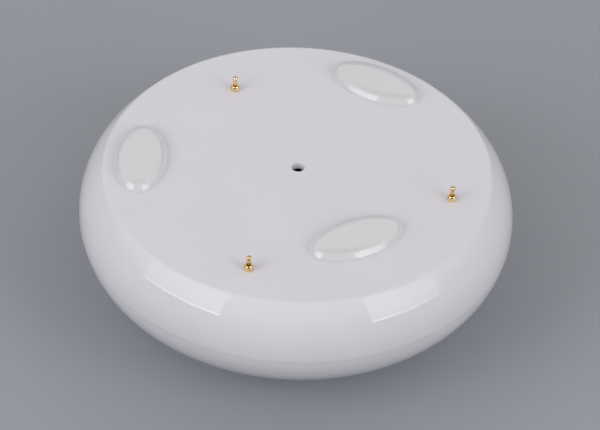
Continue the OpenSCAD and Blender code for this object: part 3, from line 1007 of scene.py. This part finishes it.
@dataclass
class WaterProbe:
    """Sprung gold probe: a barrel with a domed collar, a plunger with a ball tip, and a coil spring."""

    number: int
    centre: Point2
    base_z: float
    board_top: float
    board_t: float = 1.2
    tail_out: float = 0.6
    tail_r: float = 0.3
    barrel_r: float = 0.6
    collar_r: float = 0.75
    collar_h: float = 1.0
    collar_arc: float = 0.5637
    cup_r: float = 0.47
    neck_r: float = 0.35
    head_r: float = 0.43
    head_stop: float = 87.0
    guide_r: float = 0.39
    tip: float = 2.8
    travel: float = 1.3
    slide: float = 0.04
    lip: float = 0.25
    piston_l: float = 1.2
    floor: float = 0.4
    edge_r: float = 0.03
    mouth_r: float = 0.06
    wire: float = 0.14
    coils: float = 8.0
    sides: int = 64
    edge_steps: int = 4
    mouth_steps: int = 5
    collar_steps: int = 12
    head_steps: int = 22
    coil_points: int = 28
    wire_sides: int = 10

    @property
    def cup_z(self) -> float:
        """Height of the floor of the collar's cup."""
        return self.base_z + self.tip - 2 * self.head_r - self.travel - self.slide

    @property
    def piston_top(self) -> float:
        """Height of the plunger's shoulder inside the barrel."""
        return self.cup_z - self.lip - self.slide

    @property
    def piston_foot(self) -> float:
        """Height of the plunger's lower end inside the barrel."""
        return self.piston_top - self.piston_l

    @property
    def bore_z(self) -> float:
        """Height of the barrel's floor."""
        return self.board_top + self.floor

    @property
    def body(self) -> Body:
        """The body that the plunger moves with."""
        return Body(f"plunger_{self.number}")

    def barrel(self) -> bpy.types.Object:
        """Builds the barrel with its collar, cup and bore.

        Returns:
            The barrel.
        """
        edge, mouth, steps = self.edge_r, self.mouth_r, self.edge_steps
        tail_z = self.board_top - self.board_t - self.tail_out
        arc_z = self.base_z + self.collar_arc
        top_z = self.base_z + self.collar_h
        sweep = math.degrees(math.asin((self.collar_h - self.collar_arc) / self.collar_r))
        profile = [
            (0, tail_z),
            (self.tail_r - mouth, tail_z),
            *arc((self.tail_r - mouth, tail_z + mouth), mouth, -90, 0, steps),
            (self.tail_r, self.board_top),
            *arc((self.barrel_r - edge, self.board_top + edge), edge, -90, 0, steps),
            (self.barrel_r, self.base_z),
            *arc((self.collar_r - edge, self.base_z + edge), edge, -90, 0, steps),
            *arc((0, arc_z), self.collar_r, 0, sweep, self.collar_steps),
            *arc((self.cup_r + mouth, top_z - mouth), mouth, 90, 180, self.mouth_steps),
            (self.cup_r, self.cup_z),
            (self.guide_r, self.cup_z),
            (self.guide_r, self.piston_top + self.slide),
            (self.cup_r, self.piston_top + self.slide),
            (self.cup_r, self.bore_z),
            (0, self.bore_z),
        ]
        return lathe(f"probe_{self.number}_barrel", profile, self.centre, self.sides)

    def plunger(self) -> bpy.types.Object:
        """Builds the plunger with its piston, neck and ball tip.

        Returns:
            The plunger.
        """
        edge, steps = self.edge_r, self.edge_steps
        head_z = self.base_z + self.tip - self.head_r
        low = math.degrees(math.acos(self.neck_r / self.head_r))
        profile = [
            (0, self.piston_foot),
            *arc((self.head_r - edge, self.piston_foot + edge), edge, -90, 0, steps),
            *arc((self.head_r - edge, self.piston_top - edge), edge, 0, 90, steps),
            (self.neck_r, self.piston_top),
            *arc((0, head_z), self.head_r, -low, self.head_stop, self.head_steps),
            (0, head_z + self.head_r),
        ]
        return lathe(f"probe_{self.number}_plunger", profile, self.centre, self.sides)

    def spring(self) -> bpy.types.Object:
        """Builds the coil spring between the barrel's floor and the piston.

        Returns:
            The spring.
        """
        wire_r = self.wire / 2
        mean = self.head_r - wire_r
        low = self.bore_z + wire_r
        high = self.piston_foot - wire_r
        steps = round(self.coils * self.coil_points)
        upward = Vector((0, 0, 1))
        rings = []
        for i in range(steps + 1):
            share = i / steps
            turn = math.tau * self.coils * share
            outward = Vector((math.cos(turn), math.sin(turn), 0))
            middle = Vector((*self.centre, low + (high - low) * share)) + mean * outward
            ring = []
            for angle in turns(self.wire_sides):
                ring.append((middle + wire_r * (math.cos(angle) * outward + math.sin(angle) * upward)) * MM)
            rings.append(ring)
        first, last = (sum(ring, Vector()) / self.wire_sides for ring in (rings[0], rings[-1]))
        work = bmesh.new()
        skin(work, [[first], *rings, [last]])
        return to_object(f"probe_{self.number}_spring", work)

    def dress(self, wardrobe: Wardrobe) -> None:
        """Builds the probe's pieces and puts each on its body.

        Args:
            wardrobe: the materials.
        """
        n = self.number
        wardrobe.settle(self.barrel(), Slot.GOLD, Body.BASE, f"probe_barrel_{n}")
        wardrobe.settle(self.plunger(), Slot.GOLD, self.body, f"probe_plunger_{n}")
        coil = self.spring()
        wardrobe.settle(coil, Slot.SPRING, Body.BASE, f"probe_spring_{n}")
        room = self.piston_foot - self.bore_z
        anchor = (self.centre[0] * MM, self.centre[1] * MM, self.bore_z * MM)
        1 - self.travel / room
        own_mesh(coil)


@dataclass
class SoftBox:
    """Rectangular soft light, brighter along its lower lip."""

    name: str
    light: float
    centre: Point3
    facing: Point3
    size: Point2
    lip_gain: float = 1.6
    lip_h: float = 22.0
    lip_ahead: float = 2.0
    spread: float = 130.0

    def lamp(self, name: str, light: float, centre: Vector, size: Point2) -> None:
        """Adds one rectangular lamp that faces the way of the box.

        Args:
            name: the lamp's name.
            light: how bright its face is.
            centre: its middle.
            size: its level side and its other side.
        """
        data = bpy.data.lights.new(name, "AREA")
        data.shape = "RECTANGLE"
        data.size, data.size_y = (side * MM for side in size)
        data.energy = light * math.pi * data.size * data.size_y
        data.spread = math.radians(self.spread)
        made = bpy.data.objects.new(name, data)
        made.location = centre * MM
        made.rotation_mode = "QUATERNION"
        made.rotation_quaternion = Vector(self.facing).to_track_quat("-Z", "Y")
        made.visible_camera = False
        bpy.context.scene.collection.objects.link(made)
        LOG.info("light %s stands at %s", name, tuple(round(c, 1) for c in centre))

    def build(self) -> None:
        """Adds the box's face and its lip."""
        middle = Vector(self.centre)
        ahead = Vector(self.facing).normalized()
        level = ahead.cross(Vector((0, 0, 1))).normalized()
        upright = level.cross(ahead)
        width, height = self.size
        self.lamp(f"{self.name}_face", self.light, middle, self.size)
        lip = middle + ahead * self.lip_ahead - upright * (height - self.lip_h) / 2
        self.lamp(f"{self.name}_lip", self.lip_gain * self.light, lip, (width, self.lip_h))


SOFT_BOXES: tuple[SoftBox, ...] = (
    SoftBox(
        "left_box",
        light=1.5,
        centre=(-475.6, 10.6, 276.6),
        facing=(0.802, 0.491, -0.342),
        size=(428, 312),
    ),
    SoftBox(
        "right_box",
        light=1.74,
        centre=(364.1, -582.8, 325.1),
        facing=(0.109, 0.957, -0.271),
        size=(562, 418),
    ),
)


@dataclass
class Studio:
    """Table, soft lights and camera."""

    aim_z: float
    focal_px: float = 2456.0
    distance: float = 402.1
    elevation: float = 40.68
    heading: float = -120.1
    roll: float = 2.58
    aim_px: Point2 = (295.8, 167.3)
    frame_px: Point2 = (600.0, 430.0)
    sensor: float = 36.0
    inner_rings: Point2 = (60.0, 200.0)
    flat_r: float = 600.0
    table_r: float = 1900.0
    table_sides: int = 128
    table_spans: int = 24
    low_sweep: float = 210.0
    high_sweep: float = 1150.0
    sweep_power: int = 3
    ambient: Colour = (0.738, 0.736, 0.74)
    dim: Colour = (0.02, 0.02, 0.02)
    wall: Colour = (0.32, 0.335, 0.365)
    low_fade: Point2 = (10.0, 26.0)
    high_fade: Point2 = (56.0, 74.0)

    def camera(self) -> None:
        """Puts the camera at the photograph's viewing angle."""
        lift = math.radians(self.elevation)
        side = math.radians(self.heading)
        out = Vector((math.cos(lift) * math.cos(side), math.cos(lift) * math.sin(side), math.sin(lift)))
        right = Vector((-math.sin(side), math.cos(side), 0))
        up = right.cross(-out)
        yaw = (self.aim_px[0] - self.frame_px[0] / 2) / self.focal_px
        pitch = (self.aim_px[1] - self.frame_px[1] / 2) / self.focal_px
        ahead = (-out - right * yaw + up * pitch).normalized()
        across = ahead.cross(up).normalized()
        upright = across.cross(ahead)
        lean = math.radians(self.roll)
        x_axis = across * math.cos(lean) + upright * math.sin(lean)
        y_axis = upright * math.cos(lean) - across * math.sin(lean)
        data = bpy.data.cameras.new("photo_camera")
        data.sensor_width = self.sensor
        data.lens = self.sensor * self.focal_px / self.frame_px[0]
        seen = bpy.data.objects.new("photo_camera", data)
        turned = Matrix((x_axis, y_axis, -ahead)).transposed().to_4x4()
        place = (Vector((0, 0, self.aim_z)) + out * self.distance) * MM
        seen.matrix_world = Matrix.Translation(place) @ turned
        bpy.context.scene.collection.objects.link(seen)
        bpy.context.scene.camera = seen
        LOG.info("camera stands at %s", tuple(round(c, 4) for c in place))

    def table(self) -> None:
        """Lays the table card, which sweeps up a little all round and high behind the part."""
        reach = self.table_r - self.flat_r
        outer_rings = [self.flat_r + reach * i / self.table_spans for i in range(self.table_spans + 1)]
        rings = [[Vector((0, 0, 0))]]
        for r in (*self.inner_rings, *outer_rings):
            ring = []
            for turn in turns(self.table_sides):
                behind = 0.5 - 0.5 * math.cos(turn - math.radians(self.heading))
                lift = self.low_sweep + (self.high_sweep - self.low_sweep) * behind**self.sweep_power
                share = max(0.0, (r - self.flat_r) / reach)
                ring.append(Vector((r * math.cos(turn), r * math.sin(turn), lift * share * share)) * MM)
            rings.append(ring)
        work = bmesh.new()
        skin(work, rings)
        card = to_object("table_card", work)
        card.data.materials.append(TABLE_CARD.material())
        LOG.info("stage %s is laid", card.name)

    def room(self) -> None:
        """Fills the room with soft light that comes from half-way up, and gives the camera a plain wall."""
        world = bpy.data.worlds.new("studio")
        graph = Graph(world, Place.ROOM)
        height = graph.part(graph.place, Axis.Z)
        low, high = ([math.sin(math.radians(a)) for a in band] for band in (self.low_fade, self.high_fade))
        lit = graph.mix(height.between(*low) * (1 - height.between(*high)), self.dim, self.ambient)
        tone = graph.mix(graph.ray(Ray.CAMERA), lit, self.wall)
        light = graph.node("ShaderNodeBackground", None, {"Color": tone})
        graph.node("ShaderNodeOutputWorld", None, {"Surface": Signal(graph, light.outputs["Background"])})
        bpy.context.scene.world = world
        bpy.context.scene.view_settings.view_transform = "Standard"

    def build(self) -> None:
        """Builds the whole studio."""
        self.camera()
        for box in SOFT_BOXES:
            box.build()
        self.table()
        self.room()


# Centre and direction of each pad, and centre of each probe
PADS: tuple[tuple[Point2, float], ...] = (
    ((-22.2071, 13.1333), 149.4),
    ((22.2071, 13.1333), 30.6),
    ((0.0, -19.5), 270.0),
)
PROBES: tuple[Point2, ...] = ((0.0, 22.4), (-18.5364, -18.089), (18.5364, -18.089))


def main() -> None:
    """Builds the studio and the part's pieces in order."""
    logging.basicConfig(level=logging.INFO, format="%(name)s: %(message)s")
    housing = Housing()
    Studio(housing.underside_z).build()
    wardrobe = Wardrobe()
    housing.dress(wardrobe)
    for number, (centre, direction) in enumerate(PADS, 1):
        FootPad(number, centre, direction, housing.underside_z).dress(wardrobe)
    for number, centre in enumerate(PROBES, 1):
        WaterProbe(number, centre, housing.underside_z, housing.board_top).dress(wardrobe)


if __name__ == "__main__":
    main()
